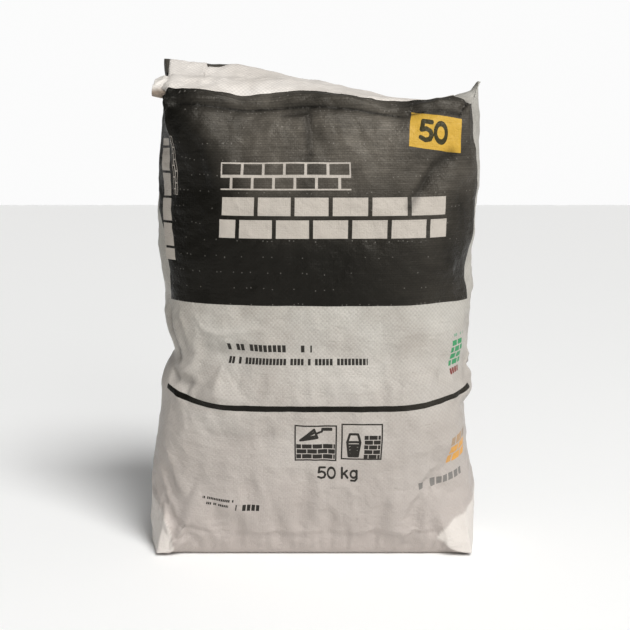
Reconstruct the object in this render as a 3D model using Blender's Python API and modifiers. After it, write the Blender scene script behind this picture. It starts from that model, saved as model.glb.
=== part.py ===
"""Filled 50 kg cement bag: a block-bottom valve sack of woven polypropylene, standing upright.

Metres, +Z up. The origin is at the middle of the face that the bag stands on, with the front
panel towards -Y and the filling valve at the upper left corner, towards -X.
"""
import bmesh
import bpy
import numpy as np
from mathutils import Vector

# Driving dimensions of the empty sack
FLAT_WIDTH = 0.500              # tube lying flat, so the filled section is 1 m round
BLOCK_WIDTH = 0.110             # width of the folded block at each end
FRONT_LENGTH = 0.538            # front panel from crease to crease
PLY = 0.0005                    # cover patch, one welded ply
GAP = 0.0004                    # between a patch and the sack under it
VALVE_WALL = 0.0009             # valve sleeve, two plies of film and fabric

# Driving dimensions of the filled bag, as it stands
STANDING_Z = PLY + GAP          # underside of the sack above the floor
BOTTOM_CREASE = 0.028           # height of the lower fold of the front panel
TOP_CREASE = BOTTOM_CREASE + FRONT_LENGTH
BODY_DEPTH = 0.188              # front to back at the fullest belly
HALF_FOOT = (0.186, 0.046)      # flat part of the underside, half length and half width
PATCH_MARGIN = 0.005            # from the edge of a block end in to its cover patch
HALF_PATCH_TOP = (0.176, 0.5 * BLOCK_WIDTH - PATCH_MARGIN)
PUCKER = 0.94                   # length of a filled block end, as a share of its flat length
BLOCK_CORNER = PUCKER * 0.5 * (FLAT_WIDTH - BLOCK_WIDTH)    # block corners, from the middle
ROUNDNESS = (2.5, 3.3)          # exponents of the section's left and right halves, 2 is an ellipse

# Sections: height, reach to the left, reach to the right, belly as a share of half BODY_DEPTH
SECTIONS = (
    (0.028, 0.216, 0.210, 0.66),
    (0.070, 0.215, 0.209, 0.78),
    (0.115, 0.211, 0.203, 0.915),
    (0.170, 0.205, 0.196, 1.00),
    (0.222, 0.199, 0.201, 1.00),
    (0.262, 0.177, 0.196, 0.96),
    (0.295, 0.190, 0.197, 0.97),
    (0.335, 0.193, 0.199, 0.985),
    (0.395, 0.199, 0.202, 1.00),
    (0.455, 0.200, 0.205, 0.985),
    (0.515, 0.196, 0.207, 0.885),
    (0.566, 0.190, 0.206, 0.68),
)

# Heights of the top: rows from the front crease to the rear crease, columns from left to right.
# The rear left corner stands up where the sack was pulled towards its valve, and the right half sags.
TOP_COLUMNS = (-1.0, -0.47, 0.0, 0.47, 0.70, 1.0)
TOP_ROWS = (-1.0, -0.82, 0.0, 0.82, 1.0)
TOP_HEIGHTS = (
    (0.569, 0.563, 0.567, 0.559, 0.560, 0.561),
    (0.584, 0.580, 0.586, 0.572, 0.574, 0.573),
    (0.597, 0.600, 0.596, 0.576, 0.565, 0.577),
    (0.627, 0.622, 0.602, 0.581, 0.569, 0.566),
    (0.617, 0.604, 0.587, 0.570, 0.563, 0.562),
)
EAR_HEIGHT = 0.596              # tip of the fold at the upper right
FOOT_RIDGE_HEIGHT = 0.007       # tips of the folds at the lower corners
TOP_FOLD_REACH = 0.120          # how far the sharp side folds run down from the top
FOOT_FOLD_REACH = 0.095         # and up from the bottom

# Cuts of the cage, as shares of half its size
ACROSS = (-0.93, -0.70, -0.47, -0.23, 0.0, 0.23, 0.47, 0.70, 0.93)
DEEP = (-0.82, -0.41, 0.0, 0.41, 0.82)

# Valve sleeve: a flattened tube that pokes out of the upper left end
VALVE_MIDDLE = Vector((-0.1885, -0.012, 0.5865))
VALVE_SIZE = (0.023, 0.058, 0.024)      # length, width, height at its mouth
VALVE_DROOP = 0.006                     # the mouth hangs this much lower than its root
VALVE_ROOT_HEIGHT = 0.75        # height at the root, as a share of that at the mouth
VALVE_SIDES = 16
VALVE_RINGS = 4

# Crease weights: a fold that the filling rounds off, a sharp fold, and a fold that stays flat
SOFT_FOLD = 0.55
SHARP_FOLD = 0.9
FLAT_FOLD = 1.0
SIDE_FOLD_STARTS = 0.7          # half-height share beyond which the side folds stay sharp


def clear_scene():
    """Remove what the scene holds."""
    for thing in list(bpy.context.scene.objects):
        bpy.data.objects.remove(thing, do_unlink=True)


def make_collection(name):
    """A new collection in the scene."""
    group = bpy.data.collections.new(name)
    bpy.context.scene.collection.children.link(group)
    return group


def woven_material(name, rgb, roughness):
    """Coated woven polypropylene in one colour."""
    material = bpy.data.materials.new(name)
    material.use_nodes = True
    shader = material.node_tree.nodes["Principled BSDF"]
    shader.inputs["Base Color"].default_value = (*rgb, 1.0)
    shader.inputs["Roughness"].default_value = roughness
    shader.inputs["Metallic"].default_value = 0.0
    return material


def add_object(name, mesh, material, group):
    """An object of this mesh, with its material, in a collection."""
    thing = bpy.data.objects.new(name, mesh)
    mesh.materials.clear()
    mesh.materials.append(material)
    group.objects.link(thing)
    return thing


def smooth_step(share):
    """0 to 1 with level ends."""
    share = min(max(share, 0.0), 1.0)
    return share * share * (3.0 - 2.0 * share)


def section_at(height):
    """Reach left, reach right and belly at a height, between the listed sections."""
    heights = [row[0] for row in SECTIONS]
    return [float(np.interp(height, heights, [row[i] for row in SECTIONS])) for i in (1, 2, 3)]


def top_height(s, t):
    """Height of the top over the place (s, t), both from -1 to 1."""
    along = [float(np.interp(s, TOP_COLUMNS, row)) for row in TOP_HEIGHTS]
    height = float(np.interp(t, TOP_ROWS, along))
    if s == 1.0:
        height += (1.0 - abs(t)) * (EAR_HEIGHT - height)
    return height


def rounded_place(s, t, reach, belly):
    """A point of the filled section: a square pushed out to a superellipse."""
    roundness = ROUNDNESS[0] if s < 0 else ROUNDNESS[1]
    pull = (abs(s) ** roundness + abs(t) ** roundness) ** (-1.0 / roundness)
    return s * pull * reach, t * pull * belly


def folded_place(s, t, reach, depth):
    """A point of the folded end: a long box whose short sides come to a ridge."""
    across = BLOCK_CORNER * s
    if abs(s) == 1.0:
        across += s * (reach - BLOCK_CORNER) * (1.0 - abs(t))
    return across, t * depth


def wall_point(s, t, share):
    """A point of the four walls, at a share of the way up from crease to crease."""
    rim = top_height(s, t)
    foot = BOTTOM_CREASE
    if abs(s) == 1.0:
        foot += (FOOT_RIDGE_HEIGHT - BOTTOM_CREASE) * (1.0 - abs(t))
    height = foot + share * (rim - foot)
    level = BOTTOM_CREASE + share * (TOP_CREASE - BOTTOM_CREASE)
    left, right, fullness = section_at(level)
    reach = left if s < 0 else right
    belly = 0.5 * BODY_DEPTH * fullness
    round_x, round_y = rounded_place(s, t, reach, belly)
    fold_x, fold_y = folded_place(s, t, reach, belly)
    near_top = smooth_step(1.0 - (TOP_CREASE - level) / TOP_FOLD_REACH)
    near_foot = smooth_step(1.0 - (level - BOTTOM_CREASE) / FOOT_FOLD_REACH)
    folded = max(near_top, near_foot)
    return Vector((
        round_x + folded * (fold_x - round_x),
        round_y + folded * (fold_y - round_y),
        height,
    ))


def end_point(s, t, upper):
    """A point inside the top or the underside."""
    half = HALF_PATCH_TOP if upper else HALF_FOOT
    across = half[0] * s / ACROSS[-1]
    deep = half[1] * t / DEEP[-1]
    if upper:
        return Vector((across, deep, top_height(s, t)))
    return Vector((across, deep, STANDING_Z))


def shape_cage(cage):
    """Move each corner of the cut cube, from -1 to 1 each way, to its place on the bag."""
    for corner in cage.verts:
        s, t, u = (round(value, 4) for value in corner.co)
        inside = abs(s) < 1.0 and abs(t) < 1.0
        if inside:
            corner.co = end_point(s, t, u > 0)
        else:
            corner.co = wall_point(s, t, 0.5 * (u + 1.0))


def mark_folds(cage, places):
    """Crease weights of the block folds, of the foot and of the side folds near the ends."""
    weight = cage.edges.layers.float.new("crease_edge")
    for edge in cage.edges:
        ends = [places[corner.index] for corner in edge.verts]
        rim = all(abs(u) == 1.0 and (abs(s) == 1.0 or abs(t) == 1.0) for s, t, u in ends)
        foot = all(u == -1.0 and is_foot_edge(s, t) for s, t, u in ends)
        side = all(abs(s) == 1.0 and t == 0.0 for s, t, u in ends)
        near_end = min(abs(u) for s, t, u in ends) > SIDE_FOLD_STARTS
        if rim:
            edge[weight] = SOFT_FOLD
        elif foot:
            edge[weight] = FLAT_FOLD
        elif side and near_end:
            edge[weight] = SHARP_FOLD


def is_foot_edge(s, t):
    """True on the outline of the flat part of the underside."""
    on_long_side = abs(t) == DEEP[-1] and abs(s) <= ACROSS[-1]
    on_short_side = abs(s) == ACROSS[-1] and abs(t) <= DEEP[-1]
    return on_long_side or on_short_side


def cut_cube():
    """A cube from -1 to 1, cut along the cage's planes."""
    cage = bmesh.new()
    bmesh.ops.create_cube(cage, size=2.0)
    levels = [2.0 * (row[0] - BOTTOM_CREASE) / FRONT_LENGTH - 1.0 for row in SECTIONS[1:-1]]
    cuts = [("X", value) for value in ACROSS]
    cuts += [("Y", value) for value in DEEP]
    cuts += [("Z", value) for value in levels]
    for axis, value in cuts:
        normal = Vector([float(letter == axis) for letter in "XYZ"])
        everything = cage.verts[:] + cage.edges[:] + cage.faces[:]
        bmesh.ops.bisect_plane(cage, geom=everything, plane_co=normal * value, plane_no=normal)
    return cage


def mark_regions(cage):
    """Number the faces that the top patch (1) and the bottom patch (2) cover."""
    region = cage.faces.layers.int.new("region")
    for face in cage.faces:
        s, t, u = face.calc_center_median()
        covered = abs(s) < ACROSS[-1] and abs(t) < DEEP[-1]
        if covered and u > 0.99:
            face[region] = 1
        elif covered and u < -0.99:
            face[region] = 2


def make_sack(material, group):
    """The filled sack: a cut cube shaped as a cage, smoothed by Subdivision Surface."""
    cage = cut_cube()
    mark_regions(cage)
    cage.verts.index_update()
    places = [tuple(round(value, 4) for value in corner.co) for corner in cage.verts]
    mark_folds(cage, places)
    shape_cage(cage)
    mesh = bpy.data.meshes.new("sack")
    cage.to_mesh(mesh)
    cage.free()
    mesh.shade_smooth()
    sack = add_object("sack", mesh, material, group)
    smoothing = sack.modifiers.new("filled shape", "SUBSURF")
    smoothing.levels = 1
    smoothing.render_levels = 1
    sack.modifiers.new("flat facets", "TRIANGULATE")
    return sack


def evaluated_copy(thing):
    """The mesh of an object with its modifiers applied."""
    bpy.context.view_layer.update()
    graph = bpy.context.evaluated_depsgraph_get()
    return bpy.data.meshes.new_from_object(thing.evaluated_get(graph))


def make_patch(name, sack, number, material, group):
    """A cover patch: the sack's own faces of one region, lifted off by a gap, one ply thick."""
    sheet = bmesh.new()
    sheet.from_mesh(evaluated_copy(sack))
    region = sheet.faces.layers.int["region"]
    others = [face for face in sheet.faces if face[region] != number]
    bmesh.ops.delete(sheet, geom=others, context="FACES")
    sheet.normal_update()
    lifted = [corner.co + corner.normal * GAP for corner in sheet.verts]
    for corner, place in zip(sheet.verts, lifted):
        corner.co = place
    mesh = bpy.data.meshes.new(name)
    sheet.to_mesh(mesh)
    sheet.free()
    patch = add_object(name, mesh, material, group)
    ply = patch.modifiers.new("ply", "SOLIDIFY")
    ply.thickness = PLY
    ply.offset = 1.0
    return patch


def make_sack_cutter(sack, group):
    """The sack grown by a gap, which trims what meets its skin."""
    mesh = evaluated_copy(sack)
    grown = bmesh.new()
    grown.from_mesh(mesh)
    grown.normal_update()
    places = [corner.co + corner.normal * GAP for corner in grown.verts]
    for corner, place in zip(grown.verts, places):
        corner.co = place
    grown.to_mesh(mesh)
    grown.free()
    cutter = bpy.data.objects.new("sack_skin_cutter", mesh)
    cutter.hide_render = True
    cutter.display_type = "WIRE"
    group.objects.link(cutter)
    return cutter


def make_valve(cutter, material, group):
    """The valve sleeve: a flattened open tube that droops at its mouth, trimmed by the sack."""
    length, width, height = VALVE_SIZE
    tube = bmesh.new()
    rings = []
    for ring in range(VALVE_RINGS):
        share = ring / (VALVE_RINGS - 1)
        middle = VALVE_MIDDLE + Vector(((0.5 - share) * length, 0.0, -VALVE_DROOP * share ** 2))
        flatness = VALVE_ROOT_HEIGHT + (1.0 - VALVE_ROOT_HEIGHT) * share
        corners = []
        for side in range(VALVE_SIDES):
            angle = 2.0 * np.pi * side / VALVE_SIDES
            sideways = 0.5 * width * np.cos(angle)
            upwards = 0.5 * height * flatness * np.sin(angle)
            corners.append(tube.verts.new(middle + Vector((0.0, sideways, upwards))))
        rings.append(corners)
    for inner, outer in zip(rings, rings[1:]):
        for side in range(VALVE_SIDES):
            after = (side + 1) % VALVE_SIDES
            tube.faces.new((inner[side], inner[after], outer[after], outer[side]))
    bmesh.ops.recalc_face_normals(tube, faces=tube.faces[:])
    mesh = bpy.data.meshes.new("valve_sleeve")
    tube.to_mesh(mesh)
    tube.free()
    valve = add_object("valve_sleeve", mesh, material, group)
    wall = valve.modifiers.new("plies", "SOLIDIFY")
    wall.thickness = VALVE_WALL
    wall.offset = 0.0
    trim = valve.modifiers.new("trim to sack", "BOOLEAN")
    trim.operation = "DIFFERENCE"
    trim.solver = "EXACT"
    trim.object = cutter
    return valve


def build():
    """Make every piece of the bag."""
    clear_scene()
    bag = make_collection("cement_bag")
    cutters = make_collection("cutters")
    fabric = woven_material("woven polypropylene", (0.56, 0.53, 0.49), 0.55)
    cover = woven_material("cover patch fabric", (0.72, 0.70, 0.66), 0.5)
    film = woven_material("valve sleeve film", (0.66, 0.62, 0.56), 0.5)
    sack = make_sack(fabric, bag)
    make_patch("top_patch", sack, 1, cover, bag)
    make_patch("bottom_patch", sack, 2, cover.copy(), bag)
    cutter = make_sack_cutter(sack, cutters)
    make_valve(cutter, film, bag)


build()
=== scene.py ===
"""Looks of the filled 50 kg cement bag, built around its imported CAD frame.

Metres, +Z up, front panel towards -Y, filling valve at the upper left, towards -X.
The fabric has coordinates of its own, in millimetres: u runs round the sack from the middle of the
front panel, v runs up it from the lower fold. Prints, weave and folds are placed in u and v.
"""
import math

import bpy
import numpy as np
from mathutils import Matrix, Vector


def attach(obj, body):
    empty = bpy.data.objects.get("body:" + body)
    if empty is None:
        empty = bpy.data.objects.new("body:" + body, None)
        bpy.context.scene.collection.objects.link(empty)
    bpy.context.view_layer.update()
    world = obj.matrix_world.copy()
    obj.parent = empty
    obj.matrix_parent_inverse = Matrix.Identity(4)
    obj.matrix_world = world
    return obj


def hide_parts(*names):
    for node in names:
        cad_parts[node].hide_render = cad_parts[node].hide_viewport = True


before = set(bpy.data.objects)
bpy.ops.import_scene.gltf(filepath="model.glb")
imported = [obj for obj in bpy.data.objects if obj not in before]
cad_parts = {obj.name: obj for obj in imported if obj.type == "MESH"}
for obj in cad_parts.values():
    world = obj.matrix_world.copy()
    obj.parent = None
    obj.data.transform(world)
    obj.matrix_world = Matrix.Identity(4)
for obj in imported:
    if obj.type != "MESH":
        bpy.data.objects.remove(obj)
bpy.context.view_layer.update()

MM = 0.001                      # a millimetre in metres

# The empty sack, in millimetres
TUBE = 1000.0                   # round the tube
PANEL = 0.5 * TUBE              # front or back panel
BLOCK = 110.0                   # width of a folded block end
CORNER_U = 0.5 * (PANEL - BLOCK)    # block corners, from a panel's middle
FRONT_LENGTH = 538.0            # front panel from fold to fold

# The lattice: cells across a panel, along a side and up the walls, doubled for the last mesh
CELLS_ACROSS = 78
CELLS_SIDE = 22
CELLS_UP = 104
CLOSER_ROWS = 24.0              # rows are twice as close this near to a fold

# How the filled bag stands, in millimetres
FLOOR_GAP = 0.9                 # the sack lies on its bottom patch
BOTTOM_FOLD = 28.0
TOP_FOLD = BOTTOM_FOLD + FRONT_LENGTH
# Block corners from the middle: front left, front right, back left, back right
TOP_CORNERS = (181.0, 183.0, 191.0, 183.0)
FOOT_CORNERS = (201.0, 199.0, 201.0, 199.0)
CORNER_BELLY = 0.93             # depth at a block corner, as a share of the middle's
FOOT_INSET = 17.0               # from the bottom fold in to the flat foot
TOP_FOLD_REACH = 110.0          # how far the side folds stay sharp below the top
FOOT_FOLD_REACH = 80.0

# Sections: height, reach left, reach right, belly in front, belly behind,
# roundness left and right (2 is an ellipse, more is squarer)
SECTIONS = np.array((
    (28, 214, 208, 62, 62, 3.0, 3.6),
    (56, 214, 205, 69, 69, 2.9, 3.4),
    (83, 209, 205, 74, 74, 2.6, 3.2),
    (110, 209, 197, 78, 78, 2.6, 3.4),
    (137, 207, 191, 81, 82, 2.7, 3.8),
    (164, 204, 190, 83, 84, 2.9, 4.4),
    (190, 201, 190, 84, 84, 2.8, 4.2),
    (210, 201, 191, 84, 83, 2.7, 4.0),
    (227, 201, 202, 83, 82, 2.7, 3.6),
    (243, 195, 195, 81, 80, 2.7, 3.6),
    (263, 187, 191, 80, 79, 2.8, 3.8),
    (282, 191, 192, 81, 79, 2.8, 4.0),
    (308, 197, 191, 82, 80, 2.7, 4.0),
    (334, 196, 194, 83, 81, 2.6, 3.8),
    (360, 199, 190, 84, 82, 2.5, 4.0),
    (411, 200, 196, 84, 82, 2.4, 4.2),
    (449, 198, 200, 82, 81, 2.4, 4.2),
    (486, 196, 202, 79, 78, 2.4, 4.0),
    (511, 192, 203, 75, 75, 2.5, 3.8),
    (536, 187, 202, 70, 71, 2.8, 3.6),
    (552, 183, 201, 65, 68, 3.2, 3.6),
    (566, 182, 202, 60, 64, 3.2, 3.6),
))

# Height of the top fold round the rim, by u
RIM_TOP = np.array((
    (-250, 590), (-222, 579), (-195, 570), (-138, 568), (-84, 561), (-18, 565), (36, 567),
    (72, 560), (100, 556), (150, 561), (195, 560), (222, 566), (250, 590), (278, 574),
    (305, 560), (410, 567), (500, 583), (600, 603), (660, 613), (695, 618), (722, 606), (750, 590),
))
# Height of the bottom fold round the rim, by distance from a panel's middle
RIM_FOOT = np.array(((0, 28), (138, 28), (150, 27), (158, 22), (168, 12), (182, 6), (205, 4), (250, 4)))

# The sides take up more fabric at the waist, so what is printed below it sits higher there
SIDE_LIFT = 17.0
LIFT_HEIGHTS = (BOTTOM_FOLD, 212.0, 322.0)

# Fabric from the fold to each share of a block end's depth, in the top and in the foot
END_RUN = ((0.0, 0.0), (0.5, 0.5 * BLOCK))
FOOT_RUN = ((0.0, 0.0), (0.137, 32.0), (0.5, 75.0))

# Heights of the top, rows from front to back, columns by x
TOP_COLUMNS = (-188.0, -90.0, 0.0, 85.0, 130.0, 171.0, 194.0)
TOP_ROWS = (0.10, 0.42, 0.56, 0.90)
TOP_HEIGHTS = (
    (587, 570, 575, 567, 565, 571, 563),
    (595, 592, 588, 567, 557, 571, 579),
    (596, 590, 587, 566, 556, 571, 582),
    (618, 611, 593, 572, 562, 566, 566),
)

# Where the flat triangles at the foot end, heights by distance from a panel's middle. The front left
# one is crushed and steeper than the others.
FOOT_FACET = ((150, 24), (156, 33), (180, 50), (208, 63), (235, 74), (250, 78))
CRUSHED_FACET = ((172, 6), (177, 20), (181, 33), (190, 45), (205, 55), (220, 62), (250, 72))

# Broad lumps of the filling and finer ones of the fabric: length, height, seed
LUMPS = ((150.0, 1.6, 3), (62.0, 0.8, 8), (27.0, 0.28, 5))
# Crumpled places: u, v, radius along u, radius along v, height
CRUMPLES = (
    (-196, 545, 34, 34, 1.8), (-172, 580, 46, 34, 2.0), (640, 575, 60, 30, 0.9), (-215, 20, 30, 34, 2.2),
    (-180, 190, 40, 34, 1.3), (205, 545, 28, 26, 1.4), (228, 200, 24, 30, 1.6), (-150, 150, 60, 26, 0.9),
    (212, 12, 26, 26, 1.0), (140, 8, 60, 18, 0.2), (-130, 2, 60, 18, 0.9), (0, 545, 200, 16, 0.7),
    (300, 545, 60, 26, 1.6), (690, 545, 60, 26, 1.6), (320, 20, 60, 30, 1.6), (680, 20, 60, 30, 1.6),
    (250, 300, 40, 120, 0.9), (520, 250, 190, 60, 0.6), (500, 480, 150, 60, 0.6), (500, 90, 190, 60, 0.6),
)
CRUMPLED_EVERYWHERE = 0.75      # height of the facets that are all over the fabric
FOLD_STRENGTH = 1.35
# Folds: width on the left of the path, width on its right, sharpness, then u, v, height
FOLDS = (
    # the fold over the top edge, its rolled lip, and creases that start from it
    (5, 9, 1, ((-192, 537, 0), (-172, 534, -2.6), (-130, 531, -2.6), (-90, 528, -2.8), (-15, 532, -3),
               (38, 529, -3), (70, 525, -2.6), (108, 520, -2.2), (135, 523, -2), (157, 526, -2.2),
               (182, 521, -2), (196, 519, 0))),
    (12, 9, 1.4, ((-190, 547, 0), (-165, 545, 2.4), (-90, 541, 2.6), (0, 544, 2.6), (73, 538, 2.4),
                  (125, 536, 2), (160, 541, 2.2), (185, 540, 2.0), (200, 542, 0))),
    (8, 10, 1, ((-172, 590, 0), (-140, 587, -3.4), (-100, 585, -3.4), (-52, 589, 0))),
    (5, 5, 1, ((208, 556, 0), (200, 548, -3), (185, 528, -2), (180, 520, 0))),
    (2.5, 4, 1, ((22, 536, -1.2), (31, 526, 0))),
    (2.5, 4, 1, ((-120, 536, -1.0), (-112, 524, 0))),
    # soft folds in the printed zone
    (26, 9, 1.3, ((172, 486, 0), (160, 473, -4.6), (143, 462, -5.4), (122, 435, -5), (108, 417, 0))),
    (16, 12, 1.4, ((182, 448, 0), (170, 420, -1.8), (158, 396, 0))),
    (34, 14, 1, ((-180, 532, 0), (-165, 518, 3.2), (-140, 488, 4.2), (-130, 456, 3.2), (-127, 425, 0))),
    (14, 5, 1, ((-48, 522, 0), (-36, 521, -2.2), (-10, 523, -3), (-5, 500, -2.4), (-4, 474, 0))),
    (18, 14, 1, ((-150, 500, 0), (-110, 470, 1.6), (-85, 430, 1.4), (-75, 400, 0))),
    (16, 20, 1, ((20, 505, 0), (45, 480, 1.6), (60, 450, 1.2), (66, 425, 0))),
    (8, 14, 1, ((-98, 500, 0), (-80, 494, -1.2), (-60, 497, 0))),
    (22, 14, 1, ((118, 362, 0), (140, 350, 1.8), (168, 336, 2.2), (194, 314, 0))),
    (12, 22, 1, ((60, 420, 0), (84, 410, 1.0), (120, 395, 0))),
    (10, 18, 1, ((-20, 395, 0), (30, 388, -0.9), (90, 392, 0))),
    (16, 10, 1, ((-110, 372, 0), (-60, 366, 0.9), (-10, 372, 0))),
    (6, 8, 1, ((-60, 503, 0), (-30, 512, -1.0), (-22, 488, 0))),
    # the waist on the left, pinched where the bag was held
    (6, 12, 1, ((-207, 300, 0), (-201, 267, -2.6), (-198, 235, -3.0), (-196, 212, -2.6), (-192, 196, 0))),
    (4, 9, 1, ((-183, 262, 0), (-178, 240, -1.6), (-180, 222, 0))),
    (9, 5, 1, ((-186, 292, 0), (-176, 270, 1.8), (-170, 246, 0))),
    (24, 46, 1.15, ((-160, 240, 0), (-148, 236, -5), (-128, 234, -6.3), (-100, 236, -5), (-66, 244, 0))),
    (5, 4, 1, ((-162, 296, 0), (-152, 275, 1.2), (-145, 264, 1.6), (-132, 261, 1.8), (-98, 263, 1.2),
               (-80, 268, 1.2), (-50, 268, 0))),
    # below the stripe on the left
    (7, 7, 1, ((-192, 172, 0), (-180, 168, 2.6), (-163, 162, 0))),
    (26, 32, 1.3, ((-152, 137, 0), (-120, 134, -2.6), (-60, 136, -2.4), (-18, 139, 0))),
    (5, 4, 1, ((-154, 139, 0), (-141, 133, 1.8), (-126, 128, 0))),
    (14, 8, 1, ((-205, 120, 0), (-190, 90, 2.4), (-178, 60, 1.8), (-165, 40, 0))),
    (6, 10, 1, ((-214, 78, 0), (-204, 58, 1.8), (-196, 40, 2.2), (-180, 22, 1.4), (-160, 14, 0))),
    # the right side: a nick, a small lump, and folds round them
    (8, 8, 1.2, ((230, 222, 0), (233, 208, 5.5), (233, 196, 6.5), (229, 186, 0))),
    (4, 9, 1, ((163, 216, 0), (158, 204, -1.8), (149, 182, 0))),
    (18, 18, 1.5, ((168, 196, 0), (182, 194, 2.6), (194, 192, 0))),
    (6, 6, 1, ((188, 178, 0), (184, 165, -1.4), (179, 146, 0))),
    (9, 14, 1.3, ((196, 322, 0), (212, 312, 2.2), (226, 305, 0))),
    (12, 12, 1.2, ((110, 118, 0), (150, 112, 1.0), (196, 122, 0))),
    (8, 16, 1.2, ((90, 62, 0), (140, 70, -1.2), (190, 96, 0))),
    # the foot: the lower fold, creases in the band under it, the crushed corner's rim
    (6, 5, 1, ((-172, 12, 0), (-165, 10, -1.3), (-137, 6, -1.3), (-105, 0, -1.1), (150, 1, -1.1),
               (158, 2, 0))),
    (8, 14, 1, ((94, -1, 0), (112, -8, -2.6), (132, -16, 0))),
    (6, 7, 1, ((-232, 34, 0), (-207, 24, 2.2), (-194, 12, 3.0), (-184, 0, 2.6), (-178, -12, 0))),
    (8, 8, 1, ((-172, -14, 0), (-155, -12, 2.0), (-130, -12, 0))),
    # the back panel, guessed
    (22, 30, 1.2, ((360, 330, 0), (420, 318, -2.4), (520, 324, -2.6), (610, 312, -2.0), (660, 300, 0))),
    (30, 12, 1, ((330, 470, 0), (352, 440, 2.4), (372, 400, 0))),
    (12, 30, 1, ((668, 480, 0), (645, 440, 2.4), (630, 395, 0))),
    (16, 26, 1, ((380, 150, 0), (450, 138, -1.8), (560, 142, 0))),
    (20, 12, 1, ((600, 90, 0), (640, 110, 2.0), (672, 140, 0))),
)

# Flat facets, as fans of triangles: a middle corner, then corners round it, each u, v, height. They
# lie side by side, so the surface stays closed.
FACETS = (
    # the pinched waist on the left: a facet that faces down
    ((-197, 206, 5), (-192, 190, -9), (-140, 194, -1), (-160, 226, 1), (-200, 232, 0), (-212, 200, 0),
     (-192, 190, -9)),
    ((-192, 190, -9), (-212, 200, 0), (-205, 176, 0), (-160, 172, 0), (-140, 194, -1)),
    # and a bright one to its right, which leans back
    ((-124, 226, 0), (-160, 226, 1), (-140, 194, -1), (-125, 184, 8), (-80, 178, 0)),
    ((-140, 194, -1), (-160, 172, 0), (-125, 184, 8)),
    ((-125, 184, 8), (-160, 172, 0), (-112, 165, 0), (-80, 178, 0)),
)

# The cover patch on the top: x of its ends and t of its edges, t from 0 in front to 1 behind
PATCH_LEFT = ((0.0, -180), (0.3, -182), (0.6, -183), (1.0, -186))
PATCH_RIGHT = ((0.0, 168), (1.0, 172))
PATCH_FRONT = ((-190, 0.09), (-150, 0.085), (-120, 0.09), (-70, 0.12), (-10, 0.135), (30, 0.12), (50, 0.075),
               (90, 0.10), (140, 0.12), (190, 0.12))
PATCH_REAR = ((-190, 0.985), (-138, 0.985), (-137, 0.755), (-118, 0.80), (-92, 0.985), (190, 0.96))
PATCH_LIFT = 0.45               # clear of the sack under it
PATCH_PLY = 0.3
PATCH_CELLS = (150, 40)
FOOT_PATCH = (185.5, 45.5)      # half of the lower patch's length and width
FOOT_CELLS = (90, 20)

# The valve sleeve that sticks out of the upper left end, a flattened tube
VALVE_ROOT = (-177.0, -13.0, 589.0)
VALVE_LENGTH = 21.0
VALVE_INSIDE = 0.35             # of its length, how far it goes in under the patch
VALVE_ROUND = 0.8               # the oval's height is the sine to this power
VALVE_HALF = (29.0, 13.0)       # half of its width and of its height
VALVE_TILT = 0.17               # rises to the rear by this share of its width
VALVE_DROOP = 1.0
VALVE_PLY = 0.5
VALVE_CELLS = (96, 30)

# The cloth simulation that lets the fabric find its folds
CLOTH_FRAMES = 20
CLOTH_CAP = 9.0                 # most that a point may move, in millimetres
SOFT_HOLD = 0.05
CLOTH_SETTINGS = {
    "quality": 6,
    "mass": 0.3,
    "tension_stiffness": 40.0,
    "compression_stiffness": 40.0,
    "shear_stiffness": 20.0,
    "bending_stiffness": 2.0,
    "shrink_min": -0.03,
    "use_pressure": True,
    "uniform_pressure_force": 4.0,
    "pin_stiffness": 1.0,
    "air_damping": 4.0,
}

# Materials, in millimetres
POLYPROPYLENE_IOR = 1.49
COAT_TINT = "#f5efe3"           # the coating is slightly yellowed
COAT_SPECULAR = 0.4
INK_SPECULAR = 0.2
UV_START = 0.1                  # the lower fold in the UV map, in metres
TAPE = 2.7                      # width of a woven tape
PRINT_HALF = 208.0              # half of the printed width of a panel
PRINT_SLIP = ((294, -3), (332, -11), (369, -1), (416, 12), (540, 15))   # v, how far it reaches further left
BLACK_FROM = 297.0
INK_SHEEN = 0.25                 # most share of the painted sheen, in a dust colour, on the black
STRIPE_AT = 171.5
STRIPE_HALF = 3.6
SPECK_ROWS = 18.9

# Painted shadow lines in the sharpest creases, through u and v
CREASE_SHADOW_LINES = (
    ("stroke", ((-178, 534), (-130, 531), (-84, 528), (-10, 532), (38, 529), (72, 525), (108, 520))),
    ("stroke", ((120, 522), (157, 526), (184, 521))),
    ("stroke", ((193, 542), (187, 530), (182, 519))),
)

# Painted shade along soft folds, through u and v
FOLD_SHADE_LINES = (
    ("stroke", ((167, 473), (155, 468), (141, 458), (121, 432), (110, 414))),
    ("stroke", ((-176, 524), (-168, 505), (-172, 470))),
    ("stroke", ((-38, 519), (-12, 520), (-7, 476))),
)

# Drawn shapes in a unit box: strokes through points, and rings with a middle and two radii
FIFTY = (
    ("stroke", ((0.62, 1.0), (0.13, 1.0), (0.07, 0.53), (0.33, 0.62), (0.58, 0.52), (0.66, 0.31),
                (0.56, 0.08), (0.3, 0.0), (0.03, 0.1))),
    ("ring", ((1.2, 0.5), (0.33, 0.5))),
)
KG = (
    ("stroke", ((2.15, 0.0), (2.15, 1.0))),
    ("stroke", ((2.6, 0.7), (2.18, 0.3))),
    ("stroke", ((2.35, 0.45), (2.65, 0.0))),
    ("ring", ((3.2, 0.34), (0.27, 0.34))),
    ("stroke", ((3.47, 0.7), (3.47, -0.1), (3.3, -0.3), (2.98, -0.26))),
)
TROWEL = (
    ("stroke", ((0.0, 0.0), (0.62, 0.1), (0.5, 0.42), (0.0, 0.0), (0.5, 0.3), (0.1, 0.05), (0.56, 0.18))),
    ("stroke", ((0.56, 0.26), (0.78, 0.34), (0.8, 0.44), (1.12, 0.44))),
    ("stroke", ((0.86, 0.4), (1.12, 0.4))),
)
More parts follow.
